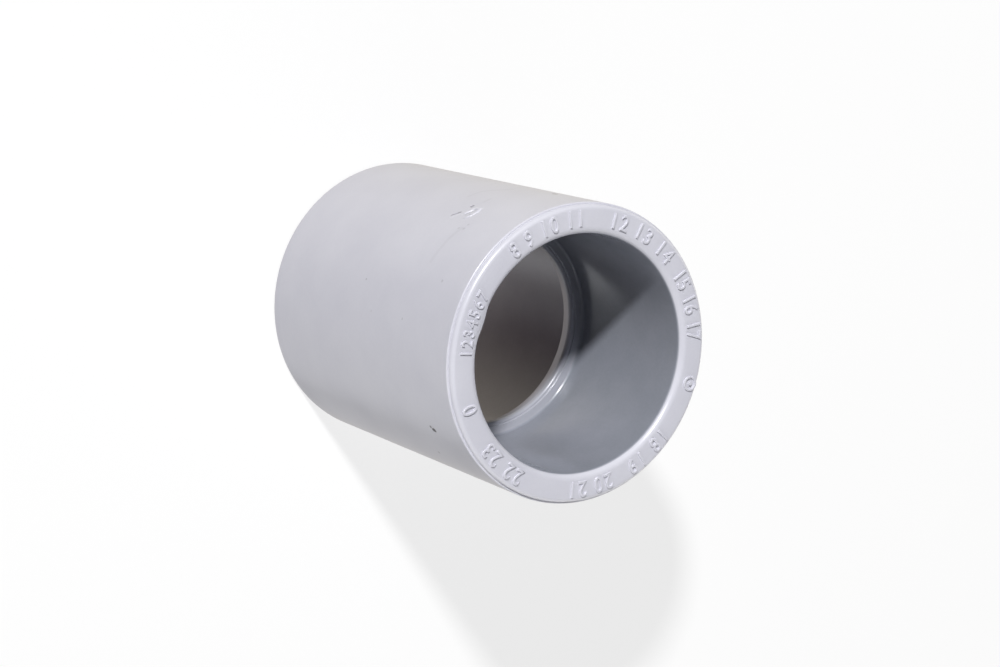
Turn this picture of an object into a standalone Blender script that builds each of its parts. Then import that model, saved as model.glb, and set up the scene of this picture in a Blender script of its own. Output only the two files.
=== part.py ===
# Conduit coupling for half inch rigid plastic conduit, moulded in one piece.
# It stands on its plain end: +Z is the axis, and the marked end is on top.

import math

import bmesh
import bpy
from mathutils import Matrix, Vector

# Driving dimensions, in metres
LENGTH = 0.0345              # one end face to the other
MOUTH_DIAMETER = 0.02186     # bore of a socket at its mouth
WALL = 0.00282               # wall at a mouth, bore to outside
SOCKET_DRAFT = 0.00015       # how much a socket's radius shrinks, mouth to stop
UPPER_SOCKET_DEPTH = 0.01595  # upper face to the stop ring

# Stop ring that keeps the two conduits apart
STOP_HEIGHT = 0.00128        # how far it stands in from the socket
LEDGE_ON_STOP = 0.00091      # outer part of its upper face, a little higher
LEDGE_RISE = 0.00015
LAND_LENGTH = 0.00053        # innermost band, along the axis
TAPER_LENGTH = 0.0016        # below the band the opening widens
TAPER_WIDTH = 0.00042

# Rounded edges
MOUTH_ROUND = 0.00068
RIM_ROUND = 0.00045
SOCKET_FILLET = 0.00030      # where a socket wall turns into the stop
LAND_ROUND = 0.00025
STOP_ROUND = 0.00020         # lower edge of the stop

# Narrow ledge that the mould's two halves leave round the upper rim
RIM_LEDGE_WIDTH = 0.00020
RIM_LEDGE_DEPTH = 0.000515
RIM_LEDGE_ROUND = 0.00013

# Fineness of the turned surface
SEGMENTS = 72
STEPS_PER_ROUND = 3

# Finish, as moulded: light grey PVC
PVC_COLOUR = (0.585, 0.578, 0.635, 1.0)
PVC_ROUGHNESS = 0.42


def corner_list():
    # Corners of the wall's section as (radius, height, edge round)
    mouth_radius = MOUTH_DIAMETER / 2
    outer_radius = mouth_radius + WALL
    rim_radius = outer_radius - RIM_LEDGE_WIDTH
    rim_bottom = LENGTH - RIM_LEDGE_DEPTH
    socket_radius = mouth_radius - SOCKET_DRAFT
    ledge_radius = socket_radius - LEDGE_ON_STOP
    land_radius = socket_radius - STOP_HEIGHT
    stop_top = LENGTH - UPPER_SOCKET_DEPTH
    land_top = stop_top - LEDGE_RISE
    land_bottom = land_top - LAND_LENGTH
    stop_bottom = land_bottom - TAPER_LENGTH
    return [
        (outer_radius, 0.0, RIM_ROUND),
        (outer_radius, rim_bottom, RIM_LEDGE_ROUND),
        (rim_radius, rim_bottom, 0.0),
        (rim_radius, LENGTH, RIM_ROUND),
        (mouth_radius, LENGTH, MOUTH_ROUND),
        (socket_radius, stop_top, SOCKET_FILLET),
        (ledge_radius, stop_top, 0.0),
        (ledge_radius, land_top, 0.0),
        (land_radius, land_top, LAND_ROUND),
        (land_radius, land_bottom, 0.0),
        (land_radius + TAPER_WIDTH, stop_bottom, STOP_ROUND),
        (socket_radius, stop_bottom, SOCKET_FILLET),
        (mouth_radius, 0.0, MOUTH_ROUND),
    ]


def round_corner(before, corner, after, radius):
    # Points of the arc that rounds one corner, kept within the walls beside it
    to_before = before - corner
    to_after = after - corner
    room = 0.49 * min(to_before.length, to_after.length)
    half_angle = to_before.angle(to_after) / 2
    reach = min(radius / math.tan(half_angle), room)
    if not reach:
        return [corner]
    to_before.normalize()
    to_after.normalize()
    middle = (to_before + to_after).normalized()
    centre = corner + middle * (reach / math.cos(half_angle))
    spoke = corner + to_before * reach - centre
    turn = spoke.angle_signed(corner + to_after * reach - centre)
    points = []
    for step in range(STEPS_PER_ROUND + 1):
        rotation = Matrix.Rotation(-turn * step / STEPS_PER_ROUND, 2)
        points.append(centre + rotation @ spoke)
    return points


def section():
    corners = corner_list()
    places = [Vector(corner[:2]) for corner in corners]
    points = []
    for index, corner in enumerate(corners):
        before = places[index - 1]
        after = places[(index + 1) % len(corners)]
        points.extend(round_corner(before, places[index], after, corner[2]))
    return points


def turned_mesh(name, points):
    # The section turned once round the Z axis, closed on itself
    shape = bmesh.new()
    verts = [shape.verts.new((r, 0.0, z)) for r, z in points]
    for index, vert in enumerate(verts):
        shape.edges.new((vert, verts[index - 1]))
    bmesh.ops.spin(
        shape,
        geom=shape.verts[:] + shape.edges[:],
        cent=(0.0, 0.0, 0.0),
        axis=(0.0, 0.0, 1.0),
        angle=2 * math.pi,
        steps=SEGMENTS,
        use_merge=True,
    )
    mesh = bpy.data.meshes.new(name)
    shape.to_mesh(mesh)
    shape.free()
    mesh.shade_smooth()
    mesh.set_sharp_from_angle(angle=math.radians(50))
    return mesh


def pvc():
    material = bpy.data.materials.new("light_grey_pvc")
    material.use_nodes = True
    shader = material.node_tree.nodes["Principled BSDF"]
    shader.inputs["Base Color"].default_value = PVC_COLOUR
    shader.inputs["Roughness"].default_value = PVC_ROUGHNESS
    shader.inputs["Metallic"].default_value = 0.0
    return material


def build():
    for old in list(bpy.data.objects):
        bpy.data.objects.remove(old)
    mesh = turned_mesh("coupling_body", section())
    mesh.materials.append(pvc())
    body = bpy.data.objects.new("coupling_body", mesh)
    bpy.context.collection.objects.link(body)


build()
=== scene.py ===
import math

import bmesh
import bpy
from mathutils import Matrix, Quaternion, Vector


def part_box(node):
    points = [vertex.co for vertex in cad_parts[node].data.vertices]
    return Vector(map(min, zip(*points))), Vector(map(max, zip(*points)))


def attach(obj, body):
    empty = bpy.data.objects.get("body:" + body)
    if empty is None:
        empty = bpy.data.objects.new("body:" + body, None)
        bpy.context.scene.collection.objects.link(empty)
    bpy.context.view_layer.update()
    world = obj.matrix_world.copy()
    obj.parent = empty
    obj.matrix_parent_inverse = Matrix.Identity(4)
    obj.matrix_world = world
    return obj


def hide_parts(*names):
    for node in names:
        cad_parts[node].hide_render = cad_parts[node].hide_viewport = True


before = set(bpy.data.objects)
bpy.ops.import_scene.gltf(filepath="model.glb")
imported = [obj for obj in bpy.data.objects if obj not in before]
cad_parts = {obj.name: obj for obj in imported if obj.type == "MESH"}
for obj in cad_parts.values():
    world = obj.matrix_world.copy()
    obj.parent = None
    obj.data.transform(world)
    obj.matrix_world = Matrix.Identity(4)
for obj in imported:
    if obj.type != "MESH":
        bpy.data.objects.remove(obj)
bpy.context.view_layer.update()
low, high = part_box("coupling_body")
outerRadius = (high.x - low.x) / 2
length = high.z - low.z
mm = 0.001
print("frame loaded, the coupling is", round(length / mm, 2), "mm long")


# Camera and small helpers

cameraView = {
    "place": Vector((-115.39, 29.81, 201.73)) * mm,
    "aim": Vector((2.12, -0.91, 17.25)) * mm,
    "roll": 107.38,      # degrees; the coupling lies on its side in the picture
    "lens": 82.56,
    "sensor": 36,        # mm wide
    "nearest": 0.01,
    "farthest": 20,
}


def aimedTurn(place, aim, roll=0.0):
    turn = (aim - place).to_track_quat("-Z", "Y")
    return turn @ Quaternion((0, 0, 1), math.radians(roll))


def makeCamera():
    place, aim = cameraView["place"], cameraView["aim"]
    data = bpy.data.cameras.new("photoCamera")
    data.lens = cameraView["lens"]
    data.sensor_width = cameraView["sensor"]
    data.sensor_fit = "HORIZONTAL"
    data.clip_start = cameraView["nearest"]
    data.clip_end = cameraView["farthest"]
    camera = bpy.data.objects.new("photoCamera", data)
    camera.location = place
    camera.rotation_mode = "QUATERNION"
    camera.rotation_quaternion = aimedTurn(place, aim, cameraView["roll"])
    bpy.context.scene.collection.objects.link(camera)
    bpy.context.scene.camera = camera


def linearColour(code):
    # sRGB hex to the linear values that shaders take
    channels = [int(code[i:i + 2], 16) / 255 for i in (0, 2, 4)]
    linear = [c / 12.92 if c <= 0.04045 else ((c + 0.055) / 1.055) ** 2.4 for c in channels]
    return (*linear, 1.0)


def addNode(tree, kind, settings=None, links=None):
    # settings are the node's own options, and links give each input a value or an output
    node = tree.nodes.new(kind)
    for option, value in (settings or {}).items():
        setattr(node, option, value)
    for name, value in (links or {}).items():
        if isinstance(value, bpy.types.NodeSocket):
            tree.links.new(value, node.inputs[name])
        else:
            node.inputs[name].default_value = value
    return node


def newMaterial(name):
    material = bpy.data.materials.new(name)
    material.use_nodes = True
    material.node_tree.nodes.clear()
    return material, material.node_tree


def linkShape(name, shape):
    mesh = bpy.data.meshes.new(name)
    shape.to_mesh(mesh)
    shape.free()
    piece = bpy.data.objects.new(name, mesh)
    bpy.context.scene.collection.objects.link(piece)
    return piece


def turnedShape(corners, turnSteps, roundSteps):
    # corners of a closed section as (radius, height, edge round), turned round the axis
    shape = bmesh.new()
    verts = [shape.verts.new((radius, 0, height)) for radius, height, edgeRound in corners]
    shape.faces.new(verts)
    for vert, (radius, height, edgeRound) in zip(verts, corners):
        if edgeRound:
            bmesh.ops.bevel(
                shape, geom=[vert], offset=edgeRound, offset_type="OFFSET",
                affect="VERTICES", segments=roundSteps, profile=0.5, material=-1,
            )
    bmesh.ops.delete(shape, geom=shape.faces[:], context="FACES_ONLY")
    bmesh.ops.spin(
        shape, geom=shape.verts[:] + shape.edges[:], cent=(0, 0, 0), axis=(0, 0, 1),
        angle=2 * math.pi, steps=turnSteps, use_merge=True,
    )
    bmesh.ops.recalc_face_normals(shape, faces=shape.faces)
    if shape.calc_volume(signed=True) < 0:
        bmesh.ops.reverse_faces(shape, faces=shape.faces)
    return shape


def axesAt(angle, radius, height, sideways, upwards):
    # places a shape on the sleeve: its x and y run along the two directions given
    outwards = sideways.cross(upwards)
    place = Vector((radius * math.cos(angle), radius * math.sin(angle), height))
    turn = Matrix((sideways, upwards, outwards)).transposed().to_4x4()
    return Matrix.Translation(place) @ turn


makeCamera()
print("camera placed")


# Sleeve: the wall's section, turned round the axis

sleeve = {
    "mouthRadius": 10.93 * mm,
    "socketRadius": 10.78 * mm,     # at the bottom of each socket
    "upperDepth": 15.95 * mm,
    "stopHeight": 1.28 * mm,        # how far the stop stands in from the socket
    "ledgeOnStop": 0.91 * mm,       # outer part of the stop's upper face, a little higher
    "ledgeRise": 0.15 * mm,
    "landLength": 0.53 * mm,        # innermost band of the stop
    "taperLength": 1.60 * mm,       # below it the opening widens
    "taperWidth": 0.42 * mm,
    "mouthRound": 0.68 * mm,
    "rimRound": 0.45 * mm,
    "socketFillet": 0.30 * mm,
    "riseRound": 0.06 * mm,
    "landRound": 0.25 * mm,
    "creaseRound": 0.05 * mm,
    "stopRound": 0.20 * mm,
    "ledgeWidth": 0.20 * mm,        # ledge that the mould's halves leave round the upper rim
    "ledgeDepth": 0.515 * mm,
    "ledgeRound": 0.13 * mm,
    "burrAngle": 165.0,             # degrees, where the mouth's edge is pushed in
    "burrSpread": 6.5,
    "burrHeight": 0.28 * mm,
    "burrDepth": 2.0 * mm,
    "turnSteps": 256,
    "roundSteps": 8,
    "sharpAngle": 35,               # degrees, edges past it are shaded sharp
}


def sectionCorners():
    rim = outerRadius - sleeve["ledgeWidth"]
    ledge = length - sleeve["ledgeDepth"]
    mouth = sleeve["mouthRadius"]
    socket = sleeve["socketRadius"]
    rise = socket - sleeve["ledgeOnStop"]
    land = socket - sleeve["stopHeight"]
    stopTop = length - sleeve["upperDepth"]
    landTop = stopTop - sleeve["ledgeRise"]
    landBottom = landTop - sleeve["landLength"]
    stopBottom = landBottom - sleeve["taperLength"]
    return [
        (outerRadius, 0, sleeve["rimRound"]),
        (outerRadius, ledge, sleeve["ledgeRound"]),
        (rim, ledge, 0),
        (rim, length, sleeve["rimRound"]),
        (mouth, length, sleeve["mouthRound"]),
        (socket, stopTop, sleeve["socketFillet"]),
        (rise, stopTop, sleeve["riseRound"]),
        (rise, landTop, sleeve["riseRound"]),
        (land, landTop, sleeve["landRound"]),
        (land, landBottom, sleeve["creaseRound"]),
        (land + sleeve["taperWidth"], stopBottom, sleeve["stopRound"]),
        (socket, stopBottom, sleeve["socketFillet"]),
        (mouth, 0, sleeve["mouthRound"]),
    ]


def pushBurr(shape):
    # the mouth's edge is pushed in a little at one place
    reach = sleeve["mouthRadius"] + sleeve["mouthRound"] / 2
    for vert in shape.verts:
        flat = Vector((vert.co.x, vert.co.y))
        edge = max(0.0, 1 - (length - vert.co.z) / sleeve["burrDepth"])
        if edge and flat.length < reach:
            angle = math.degrees(flat.angle_signed(Vector((1, 0))))
            swell = math.exp(-((angle - sleeve["burrAngle"]) / sleeve["burrSpread"]) ** 2)
            inwards = flat.normalized() * sleeve["burrHeight"] * swell * edge
            vert.co -= inwards.to_3d()


sleeveShape = turnedShape(sectionCorners(), sleeve["turnSteps"], sleeve["roundSteps"])
pushBurr(sleeveShape)
body = linkShape("moulded_sleeve", sleeveShape)
print("sleeve turned,", len(body.data.polygons), "faces")


# Raised numbers on the upper face: a plain dial that counts clockwise

dial = {
    "rows": [            # text, angle of its first and last character, size, radius
        ("0", -156.9, -156.9, 1.45, 12.30),
        ("1 2 3 4 5 6 7", 179.2, 154.2, 1.1, 12.20),
        ("8 9 10 11", 131.0, 97.0, 1.45, 12.38),
        ("12 13 14", 80.0, 47.3, 1.45, 12.38),
        ("15 16 17", 36.5, 8.2, 1.45, 12.38),
        ("18 19", -37.6, -57.0, 1.45, 12.38),
        ("20 21", -70.3, -88.6, 1.45, 12.38),
        ("22 23", -117.5, -136.9, 1.45, 12.38),
    ],
    "gap": 0.6,              # a space's width, as a share of a digit's
    "narrow": 0.86,          # digits are squeezed to this share of the font's width
    "digitHeight": 0.69,     # of the font's size
    "curveSteps": 4,
    "edgeSteps": 2,
    "proud": 0.15 * mm,
    "sunk": 0.15 * mm,       # hidden in the wall
    "edgeRound": 0.055 * mm,
    "thinner": 0.03 * mm,    # taken off each side of a stroke before its edges are rounded
    "ringAngle": -12.5,
    "ringRadius": 12.6 * mm,
    "ringOuter": 0.70 * mm,
    "ringInner": 0.50 * mm,
    "ringSteps": 40,
    "ringEdgeSteps": 3,
    "dotRadius": 0.17 * mm,
    "dotFoot": 1.3,          # the dot is this much wider at its foot
    "dotSteps": 20,
    "mergeGap": 0.0005 * mm,
}


def digitMesh(character, size):
    text = bpy.data.curves.new("digit", "FONT")
    text.body = character
    text.size = size * mm / dial["digitHeight"]
    text.resolution_u = dial["curveSteps"]
    text.bevel_depth = dial["edgeRound"]
    text.bevel_resolution = dial["edgeSteps"]
    text.offset = -dial["thinner"]
    text.extrude = (dial["proud"] + dial["sunk"]) / 2 - dial["edgeRound"]
    writing = bpy.data.objects.new("digit", text)
    bpy.context.scene.collection.objects.link(writing)
    bpy.context.view_layer.update()
    evaluated = writing.evaluated_get(bpy.context.evaluated_depsgraph_get())
    mesh = bpy.data.meshes.new_from_object(evaluated)
    bpy.data.objects.remove(writing)
    bpy.data.curves.remove(text)
    return mesh


def axesOnFace(angle, radius, height):
    # x runs clockwise round the upper face and y outwards
    clockwise = Vector((math.sin(angle), -math.cos(angle), 0))
    outwards = Vector((math.cos(angle), math.sin(angle), 0))
    return axesAt(angle, radius, height, clockwise, outwards)


def placeDigit(raised, character, size, angle, radius):
    mesh = digitMesh(character, size)
    across = [vert.co.x for vert in mesh.vertices]
    centre = Vector((-(min(across) + max(across)) / 2, -size * mm / 2, 0))
    squeeze = Matrix.Scale(dial["narrow"], 4, Vector((1, 0, 0)))
    middle = length + (dial["proud"] - dial["sunk"]) / 2
    mesh.transform(axesOnFace(angle, radius, middle) @ squeeze @ Matrix.Translation(centre))
    raised.from_mesh(mesh)
    bpy.data.meshes.remove(mesh)


def raisedRing(raised):
    # a ring with a dot in it
    inner, outer = dial["ringInner"], dial["ringOuter"]
    proud, sunk, edgeRound = dial["proud"], dial["sunk"], dial["edgeRound"]
    ring = turnedShape([
        (inner, -sunk, 0), (outer, -sunk, 0),
        (outer, proud, edgeRound), (inner, proud, edgeRound),
    ], dial["ringSteps"], dial["ringEdgeSteps"])
    dot = bmesh.ops.create_cone(
        ring, cap_ends=True, segments=dial["dotSteps"],
        radius1=dial["dotRadius"] * dial["dotFoot"], radius2=dial["dotRadius"],
        depth=sunk + proud,
    )["verts"]
    bmesh.ops.translate(ring, verts=dot, vec=(0, 0, (proud - sunk) / 2))
    ring.transform(axesOnFace(math.radians(dial["ringAngle"]), dial["ringRadius"], length))
    mesh = bpy.data.meshes.new("ringMark")
    ring.to_mesh(mesh)
    ring.free()
    raised.from_mesh(mesh)
    bpy.data.meshes.remove(mesh)


raised = bmesh.new()
for text, first, last, size, radius in dial["rows"]:
    widths = [dial["gap"] if character == " " else 1.0 for character in text]
    span = sum(widths) - (widths[0] + widths[-1]) / 2
    along = 0.0
    for index, character in enumerate(text):
        if index:
            along += (widths[index - 1] + widths[index]) / 2
        if character != " ":
            share = along / span if span else 0.0
            angle = math.radians(first + (last - first) * share)
            placeDigit(raised, character, size, angle, radius * mm)
raisedRing(raised)
print("numbers raised,", len(raised.faces), "faces")


# Scar on the side, where the gate was broken off

scar = {
    "ridges": [          # angle, height, half length, half width, slope: degrees and mm
        (122.2, 25.15, 0.62, 0.23, -24),
        (119.8, 25.80, 0.45, 0.17, -72),
        (125.3, 26.00, 0.46, 0.17, -39),
        (121.7, 26.27, 0.58, 0.20, 5),
    ],
    "pits": [
        (125.3, 23.87, 0.52, 0.13, -44),
        (119.1, 24.50, 0.16, 0.16, 0),
    ],
    "proud": 0.08 * mm,
    "deep": 0.08 * mm,
    "roundSteps": 24,
    "lengthSteps": 12,
}


def halfSunkLens(shape, angle, height, halfLength, halfWidth, slope, thickness):
    angle = math.radians(angle)
    along = Vector((-math.sin(angle), math.cos(angle), 0))
    place = axesAt(angle, outerRadius, height * mm, along, Vector((0, 0, 1)))
    turn = Matrix.Rotation(math.radians(slope), 4, "Z")
    stretch = Matrix.Diagonal((halfLength * mm, halfWidth * mm, thickness, 1))
    bmesh.ops.create_uvsphere(
        shape, u_segments=scar["roundSteps"], v_segments=scar["lengthSteps"], radius=1,
        matrix=place @ turn @ stretch,
    )


def joinShapes(piece, cutter, operation):
    # the helper object goes away once the piece has taken its shape
    modifier = piece.modifiers.new("join", "BOOLEAN")
    modifier.object = cutter
    modifier.operation = operation
    modifier.solver = "MANIFOLD"    # the exact one loses the sleeve here; all are closed
    bpy.context.view_layer.update()
    evaluated = piece.evaluated_get(bpy.context.evaluated_depsgraph_get())
    joined = bpy.data.meshes.new_from_object(evaluated)
    while joined.uv_layers:    # left over from the digits, and empty on the sleeve
        joined.uv_layers.remove(joined.uv_layers[0])
    # the solver's order of faces changes from run to run, so they are put in order
    ordered = bmesh.new()
    ordered.from_mesh(joined)
    ordered.verts.index_update()
    count = len(ordered.verts)
    for things in (ordered.edges, ordered.faces):
        things.sort(key=lambda thing: thing.verts[0].index * count + thing.verts[1].index)
    ordered.to_mesh(joined)
    ordered.free()
    piece.modifiers.clear()
    old = piece.data
    piece.data = joined
    bpy.data.meshes.remove(old)
    bpy.data.objects.remove(cutter)


for ridge in scar["ridges"]:
    halfSunkLens(raised, *ridge, scar["proud"])
pits = bmesh.new()
for pit in scar["pits"]:
    halfSunkLens(pits, *pit, scar["deep"])
bmesh.ops.remove_doubles(raised, verts=raised.verts, dist=dial["mergeGap"])
bmesh.ops.recalc_face_normals(raised, faces=raised.faces)
joinShapes(body, linkShape("raisedMarks", raised), "UNION")
joinShapes(body, linkShape("scarPits", pits), "DIFFERENCE")
print("marks and scar joined,", len(body.data.polygons), "faces")


# Light grey PVC, injection moulded: satin outside, where the mould was finely blasted,
# and glossier in the bores, where the polished core pins left it; the bores' darker colour
# is painted shade

pvc = {
    "outside": ("c7c7d1", "cdcdd6"),    # cloudy flow marks run between the two
    # painted shade: the bores' colour is darker than the plastic outside
    "bore": ("82868f", "8c8f99"),
    "farBoreShadeAndLight": ("9b939a", "a59da3"),    # painted shade, lighter than the bore's, and warm painted light that comes through the wall there
    "farHeights": (16.6, 17.6),         # mm, the far bore's colour fades out between these
    "boreEdge": 11.04,    # mm, radius where the mouth's round starts to look like the bore
    "stopShadeAndGloss": 0.6,    # how much of the bore's painted shade and gloss the stop has
    "roughOutside": 0.32,
    "roughBore": 0.18,
    "smudge": 0.03,       # how much rougher or glossier the flow marks are
    "ior": 1.53,
    "cloud": 7.0,         # mm, size of the flow marks
    "grain": 0.30,        # mm, bumps of the blasted mould; the real ones are finer
    "grainDepth": 0.003,  # mm
    "grainInCloud": 0.25,
    "cloudRange": (0.3, 0.7),           # the noise's usual lowest and highest values
    "grainyCloudRange": (0.45, 0.80),
    "turning": 0.35,      # mm, lines that turned core pins print; the real ones are finer
    "turningAcross": 0.03,
    "turningDepth": 0.006,    # mm
    "edgeGrain": 6.0,     # the marks' edges wander this many times in a millimetre
    "edgeWander": 0.16,   # mm
    "fade": (1.2, 0.6),   # a mark fades in between these shares of its radius
    "speck": "2b2725",
    "sunk": 0.05,         # mm, how deep the darkest marks are
    "specks": [           # burnt grains near the surface: angle, height, radius, darkness
        (-147.0, 28.55, 0.17, 0.70), (-130.8, 26.20, 0.15, 0.50), (119.1, 24.50, 0.22, 0.55),
        (162.2, 17.40, 0.13, 0.30), (172.5, 25.55, 0.13, 0.20), (173.3, 19.80, 0.12, 0.15),
        (154.7, 29.90, 0.14, 0.20), (90.6, 28.00, 0.30, 0.80), (131.9, 26.60, 0.14, 0.15),
        (131.7, 27.40, 0.18, 0.15), (129.3, 27.40, 0.15, 0.15),
    ],
    "scuffs": [           # from angle and height to angle and height, half width, darkness
        (-145.9, 28.82, -145.9, 29.12, 0.21, 0.92),
        (126.6, 23.56, 124.0, 24.17, 0.15, 0.40), (124.6, 25.35, 120.8, 25.75, 0.12, 0.12),
        (148.4, 26.50, 137.7, 26.70, 0.25, 0.05), (137.7, 26.70, 131.8, 27.00, 0.25, 0.06),
        (112.9, 21.70, 107.6, 21.70, 0.25, 0.05), (107.6, 21.70, 98.5, 23.60, 0.25, 0.05),
        (114.7, 25.00, 111.7, 24.90, 0.20, 0.06),
    ],
    # colour of the painted highlight on the scar's ridges
    "highlightColour": "e2e2ea",
    "ridgeHighlights": [         # the scar's torn ridges, with a painted highlight; given as scuffs are
        (119.9, 25.40, 124.5, 24.90, 0.26, 0.30), (119.3, 26.22, 124.1, 26.32, 0.24, 0.30),
        (125.0, 24.40, 127.5, 23.90, 0.22, 0.25),
    ],
}


def onWall(angle, height):
    # a point of the outer wall, in millimetres
    angle = math.radians(angle)
    radius = outerRadius / mm
    return Vector((radius * math.cos(angle), radius * math.sin(angle), height))


def spotAround(tree, away, ragged, size, strength):
    # full strength inside, then a ragged fade to none
    outer, inner = pvc["fade"]
    wandering = addNode(tree, "ShaderNodeMath", {"operation": "ADD"}, {0: away, 1: ragged})
    return addNode(tree, "ShaderNodeMapRange", {"interpolation_type": "SMOOTHSTEP"}, {
        "Value": wandering.outputs[0], "From Min": size * outer, "From Max": size * inner,
        "To Min": 0.0, "To Max": strength,
    }).outputs["Result"]


def awayFromRun(tree, inMm, startAngle, startHeight, endAngle, endHeight):
    # distance to a straight run between two points of the wall
    start = onWall(startAngle, startHeight)
    run = onWall(endAngle, endHeight) - start
    fromStart = addNode(tree, "ShaderNodeVectorMath", {"operation": "SUBTRACT"}, {
        0: inMm, 1: start,
    }).outputs[0]
    along = addNode(tree, "ShaderNodeVectorMath", {"operation": "DOT_PRODUCT"}, {
        0: fromStart, 1: run / run.length_squared,
    }).outputs["Value"]
    share = addNode(tree, "ShaderNodeClamp", links={"Value": along}).outputs[0]
    nearest = addNode(tree, "ShaderNodeVectorMath", {"operation": "SCALE"}, {
        0: run, "Scale": share,
    }).outputs[0]
    return addNode(tree, "ShaderNodeVectorMath", {"operation": "DISTANCE"}, {
        0: fromStart, 1: nearest,
    }).outputs["Value"]


def mouldedPvc():
    material, tree = newMaterial("mouldedGreyPvc")

    # place on the sleeve in millimetres, and how far it is in the bore
    place = addNode(tree, "ShaderNodeTexCoord").outputs["Object"]
    inMm = addNode(tree, "ShaderNodeVectorMath", {"operation": "SCALE"}, {
        0: place, "Scale": 1 / mm,
    }).outputs[0]
    flat = addNode(tree, "ShaderNodeVectorMath", {"operation": "MULTIPLY"}, {
        0: inMm, 1: Vector((1, 1, 0)),
    }).outputs[0]
    radius = addNode(tree, "ShaderNodeVectorMath", {"operation": "LENGTH"}, {
        0: flat,
    }).outputs["Value"]
    pastMouth = addNode(tree, "ShaderNodeMapRange", {"interpolation_type": "SMOOTHSTEP"}, {
        "Value": radius, "From Min": pvc["boreEdge"],
        "From Max": sleeve["mouthRadius"] / mm, "To Min": 0.0, "To Max": 1.0,
    }).outputs["Result"]
    beforeStop = addNode(tree, "ShaderNodeMapRange", {"interpolation_type": "SMOOTHSTEP"}, {
        "Value": radius, "From Min": (sleeve["socketRadius"] - sleeve["socketFillet"]) / mm,
        "From Max": sleeve["socketRadius"] / mm, "To Min": pvc["stopShadeAndGloss"], "To Max": 1.0,
    }).outputs["Result"]
    inBore = addNode(tree, "ShaderNodeMath", {"operation": "MULTIPLY"}, {
        0: pastMouth, 1: beforeStop,
    }).outputs[0]
    height = addNode(tree, "ShaderNodeSeparateXYZ", links={0: inMm}).outputs["Z"]
    fadeStart, fadeEnd = pvc["farHeights"]
    pastStop = addNode(tree, "ShaderNodeMapRange", {"interpolation_type": "SMOOTHSTEP"}, {
        "Value": height, "From Min": fadeStart, "From Max": fadeEnd,
        "To Min": 1.0, "To Max": 0.0,
    }).outputs["Result"]

    # flow marks
    cloud = addNode(tree, "ShaderNodeTexNoise", links={
        "Vector": inMm, "Scale": 1 / pvc["cloud"], "Detail": 4.0, "Roughness": 0.55,
    }).outputs["Fac"]
    grain = addNode(tree, "ShaderNodeTexNoise", links={
        "Vector": inMm, "Scale": 1 / pvc["grain"], "Detail": 2.0, "Roughness": 0.6,
    }).outputs["Fac"]
    fineCloud = addNode(tree, "ShaderNodeMath", {"operation": "MULTIPLY"}, {
        0: grain, 1: pvc["grainInCloud"],
    }).outputs[0]
    grainyCloud = addNode(tree, "ShaderNodeMath", {"operation": "ADD"}, {
        0: cloud, 1: fineCloud,
    }).outputs[0]
    lowest, highest = pvc["grainyCloudRange"]
    cloudShare = addNode(tree, "ShaderNodeMapRange", links={
        "Value": grainyCloud, "From Min": lowest, "From Max": highest,
        "To Min": 0.0, "To Max": 1.0,
    }).outputs["Result"]
    clouded = {}
    for part in ("outside", "bore", "farBoreShadeAndLight"):
        dark, light = pvc[part]
        clouded[part] = addNode(tree, "ShaderNodeMix", {"data_type": "RGBA"}, {
            "Factor": cloudShare, 6: linearColour(dark), 7: linearColour(light),
        }).outputs[2]

    # specks, scuffs and the painted highlight on the scar's ridges
    edge = addNode(tree, "ShaderNodeTexNoise", links={
        "Vector": inMm, "Scale": pvc["edgeGrain"], "Detail": 2.0,
    }).outputs["Fac"]
    centred = addNode(tree, "ShaderNodeMath", {"operation": "SUBTRACT"}, {
        0: edge, 1: 0.5,
    }).outputs[0]
    ragged = addNode(tree, "ShaderNodeMath", {"operation": "MULTIPLY"}, {
        0: centred, 1: pvc["edgeWander"],
    }).outputs[0]
    ridgeHighlights, marks = [], []
    for *ends, size, strength in pvc["ridgeHighlights"]:
        away = awayFromRun(tree, inMm, *ends)
        ridgeHighlights.append(spotAround(tree, away, ragged, size, strength))
    for angle, markHeight, size, darkness in pvc["specks"]:
        away = addNode(tree, "ShaderNodeVectorMath", {"operation": "DISTANCE"}, {
            0: inMm, 1: onWall(angle, markHeight),
        }).outputs["Value"]
        marks.append(spotAround(tree, away, ragged, size, darkness))
    for *ends, size, darkness in pvc["scuffs"]:
        away = awayFromRun(tree, inMm, *ends)
        marks.append(spotAround(tree, away, ragged, size, darkness))
    strongest = []
    for spots in (ridgeHighlights, marks):
        most = 0.0
        for spot in spots:
            most = addNode(tree, "ShaderNodeMath", {"operation": "MAXIMUM"}, {
                0: most, 1: spot,
            }).outputs[0]
        strongest.append(most)
    ridgeHighlight, darkening = strongest

    colour = clouded["outside"]
    bore = addNode(tree, "ShaderNodeMix", {"data_type": "RGBA"}, {
        "Factor": pastStop, 6: clouded["bore"], 7: clouded["farBoreShadeAndLight"],
    }).outputs[2]
    # the bores take their painted shade, the scar's ridges their painted highlight, then the
    # dark specks
    for share, over in (
        (inBore, bore),
        (ridgeHighlight, linearColour(pvc["highlightColour"])),
        (darkening, linearColour(pvc["speck"])),
    ):
        colour = addNode(tree, "ShaderNodeMix", {"data_type": "RGBA"}, {
            "Factor": share, 6: colour, 7: over,
        }).outputs[2]

    lowest, highest = pvc["cloudRange"]
    smudge = addNode(tree, "ShaderNodeMapRange", links={
        "Value": cloud, "From Min": lowest, "From Max": highest,
        "To Min": -pvc["smudge"], "To Max": pvc["smudge"],
    }).outputs["Result"]
    polish = addNode(tree, "ShaderNodeMapRange", links={
        "Value": inBore, "From Min": 0.0, "From Max": 1.0,
        "To Min": pvc["roughOutside"], "To Max": pvc["roughBore"],
    }).outputs["Result"]
    roughness = addNode(tree, "ShaderNodeMath", {"operation": "ADD"}, {
        0: polish, 1: smudge,
    }).outputs[0]

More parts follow.
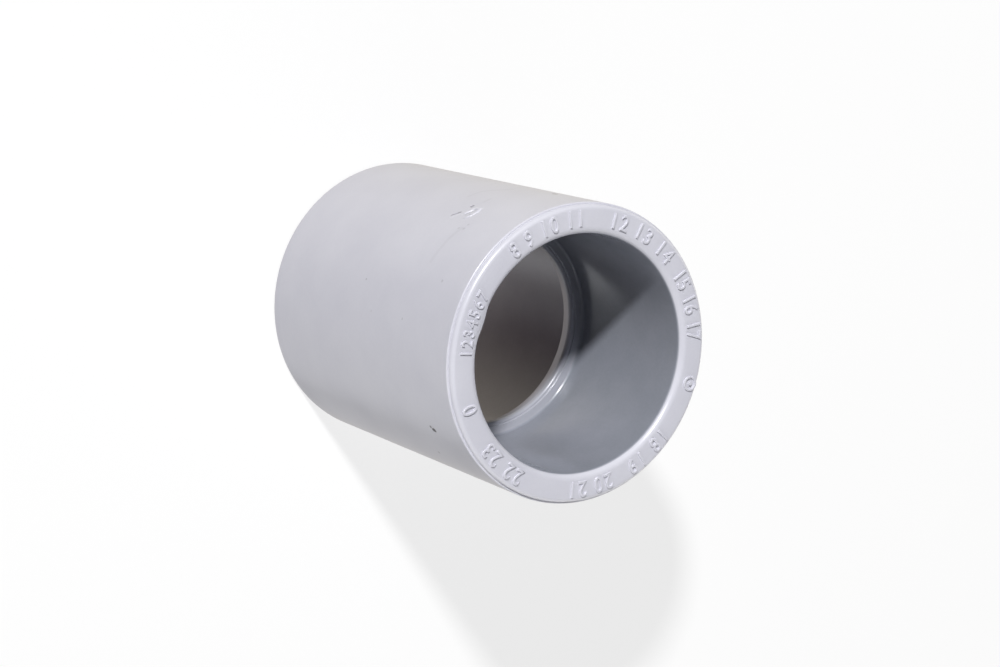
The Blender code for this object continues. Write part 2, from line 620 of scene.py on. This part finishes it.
    # relief: the blasted grain, the sunken marks and the lines turned into the core pins
    turningPlace = addNode(tree, "ShaderNodeVectorMath", {"operation": "MULTIPLY"}, {
        0: inMm, 1: Vector((pvc["turningAcross"], pvc["turningAcross"], 1 / pvc["turning"])),
    }).outputs[0]
    turning = addNode(tree, "ShaderNodeTexNoise", links={
        "Vector": turningPlace, "Scale": 1.0, "Detail": 3.0, "Roughness": 0.6,
    }).outputs["Fac"]
    turningInBore = addNode(tree, "ShaderNodeMath", {"operation": "MULTIPLY"}, {
        0: turning, 1: inBore,
    }).outputs[0]
    grainBump = addNode(tree, "ShaderNodeBump", links={
        "Height": grain, "Strength": 1.0, "Distance": pvc["grainDepth"] * mm,
    }).outputs["Normal"]
    markBump = addNode(tree, "ShaderNodeBump", {"invert": True}, {
        "Height": darkening, "Strength": 1.0, "Distance": pvc["sunk"] * mm,
        "Normal": grainBump,
    }).outputs["Normal"]
    turningBump = addNode(tree, "ShaderNodeBump", links={
        "Height": turningInBore, "Strength": 1.0, "Distance": pvc["turningDepth"] * mm,
        "Normal": markBump,
    }).outputs["Normal"]

    shader = addNode(tree, "ShaderNodeBsdfPrincipled", links={
        "Base Color": colour, "Roughness": roughness, "Normal": turningBump,
        "IOR": pvc["ior"],
    })
    addNode(tree, "ShaderNodeOutputMaterial", links={"Surface": shader.outputs[0]})
    return material


body.data.materials.clear()
body.data.materials.append(mouldedPvc())
body.data.shade_smooth()
body.data.set_sharp_from_angle(angle=math.radians(sleeve["sharpAngle"]))
even = body.modifiers.new("evenShading", "WEIGHTED_NORMAL")
even.keep_sharp = True
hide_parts("coupling_body")
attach(body, "root")
print("sleeve finished")


# Floor and light

studio = {
    "floorSize": 3.0,
    "floorColour": "f4f4f4",
    "floorWhite": 0.75,   # share of the floor that shows plain white to the camera
    "keyPlace": Vector((-0.6357, 0.7566, 0.8450)),
    "keyAim": Vector((0, 0, 34.5)) * mm,
    "keySize": 0.09,
    "keyPower": 19.4,
    "panels": [          # lowest and highest z, tint, sharpness, (heading, light)
        (0.57, 0.87, "ffffff", 2, ((90, 0.30), (270, 0.46))),
        (0.17, 0.57, "ffffff", 2, ((90, 0.52), (180, 0.15), (270, 1.90))),
        (-0.42, 0.17, "fffefa", 2, ((0, 1.90), (270, 1.90))),
        (-0.90, -0.42, "fff8e6", 2, ((0, 0.73), (90, 0.54), (270, 0.07))),
        (-0.90, -0.42, "f8fbff", 10, ((205, 0.30), (250, 0.80))),
        (-2.00, -0.90, "fff8f6", 0, ((0, 0.64),)),
    ],
    "panelEdge": 0.06,
}


def makeFloor():
    # the floor takes the shadow, and lets the tent's light through from below
    shape = bmesh.new()
    bmesh.ops.create_grid(shape, x_segments=1, y_segments=1, size=studio["floorSize"] / 2)
    floor = linkShape("floor", shape)
    material, tree = newMaterial("whiteStudioFloor")
    shade = addNode(tree, "ShaderNodeBsdfDiffuse", links={
        "Color": linearColour(studio["floorColour"]),
    })
    white = addNode(tree, "ShaderNodeEmission", links={
        "Color": (1, 1, 1, 1), "Strength": 1.0,
    })
    path = addNode(tree, "ShaderNodeLightPath")
    share = addNode(tree, "ShaderNodeMath", {"operation": "MULTIPLY"}, {
        0: path.outputs["Is Camera Ray"], 1: studio["floorWhite"],
    })
    seen = addNode(tree, "ShaderNodeMixShader", links={
        0: share.outputs[0], 1: shade.outputs[0], 2: white.outputs[0],
    })
    addNode(tree, "ShaderNodeOutputMaterial", links={"Surface": seen.outputs[0]})
    floor.data.materials.append(material)
    floor.visible_diffuse = False
    floor.visible_glossy = False
    floor.visible_shadow = False


def makeKey():
    data = bpy.data.lights.new("keySoftbox", "AREA")
    data.shape = "DISK"
    data.size = studio["keySize"]
    data.energy = studio["keyPower"]
    lamp = bpy.data.objects.new("keySoftbox", data)
    lamp.location = studio["keyPlace"]
    lamp.rotation_mode = "QUATERNION"
    lamp.rotation_quaternion = aimedTurn(studio["keyPlace"], studio["keyAim"])
    lamp.visible_camera = False
    bpy.context.scene.collection.objects.link(lamp)


def makeWorld():
    # a soft tent of panels at different heights, each brightest at its headings
    world = bpy.data.worlds.new("studioWorld")
    bpy.context.scene.world = world
    world.use_nodes = True
    tree = world.node_tree
    tree.nodes.clear()

    direction = addNode(tree, "ShaderNodeTexCoord").outputs["Generated"]
    flat = addNode(tree, "ShaderNodeVectorMath", {"operation": "MULTIPLY"}, {
        0: direction, 1: Vector((1, 1, 0)),
    }).outputs["Vector"]
    heading = addNode(tree, "ShaderNodeVectorMath", {"operation": "NORMALIZE"}, {
        0: flat,
    }).outputs["Vector"]
    rise = addNode(tree, "ShaderNodeSeparateXYZ", links={0: direction}).outputs["Z"]
    edge = studio["panelEdge"]
    total = Vector((0, 0, 0))
    for lowest, highest, tint, sharpness, lights in studio["panels"]:
        level = 0.0
        for angle, light in lights:
            angle = math.radians(angle)
            side = Vector((math.cos(angle), math.sin(angle), 0))
            share = addNode(tree, "ShaderNodeVectorMath", {"operation": "DOT_PRODUCT"}, {
                0: heading, 1: side,
            }).outputs["Value"]
            for operation, value in (
                ("MAXIMUM", 0.0), ("POWER", sharpness), ("MULTIPLY", light), ("ADD", level),
            ):
                share = addNode(tree, "ShaderNodeMath", {"operation": operation}, {
                    0: share, 1: value,
                }).outputs[0]
            level = share
        for start, end in (
            (lowest - edge, lowest + edge), (highest + edge, highest - edge),
        ):
            within = addNode(tree, "ShaderNodeMapRange", {
                "interpolation_type": "SMOOTHSTEP",
            }, {
                "Value": rise, "From Min": start, "From Max": end,
                "To Min": 0.0, "To Max": 1.0,
            }).outputs["Result"]
            level = addNode(tree, "ShaderNodeMath", {"operation": "MULTIPLY"}, {
                0: level, 1: within,
            }).outputs[0]
        total = addNode(tree, "ShaderNodeVectorMath", {"operation": "MULTIPLY_ADD"}, {
            0: level, 1: linearColour(tint)[:3], 2: total,
        }).outputs["Vector"]
    soft = addNode(tree, "ShaderNodeBackground", links={"Color": total, "Strength": 1.0})
    white = addNode(tree, "ShaderNodeBackground", links={
        "Color": (1, 1, 1, 1), "Strength": 1.0,
    })
    path = addNode(tree, "ShaderNodeLightPath")
    seen = addNode(tree, "ShaderNodeMixShader", links={
        0: path.outputs["Is Camera Ray"], 1: soft.outputs[0], 2: white.outputs[0],
    })
    addNode(tree, "ShaderNodeOutputWorld", links={"Surface": seen.outputs[0]})


makeFloor()
makeKey()
makeWorld()
bpy.context.scene.view_settings.view_transform = "Standard"
print("floor and light set")
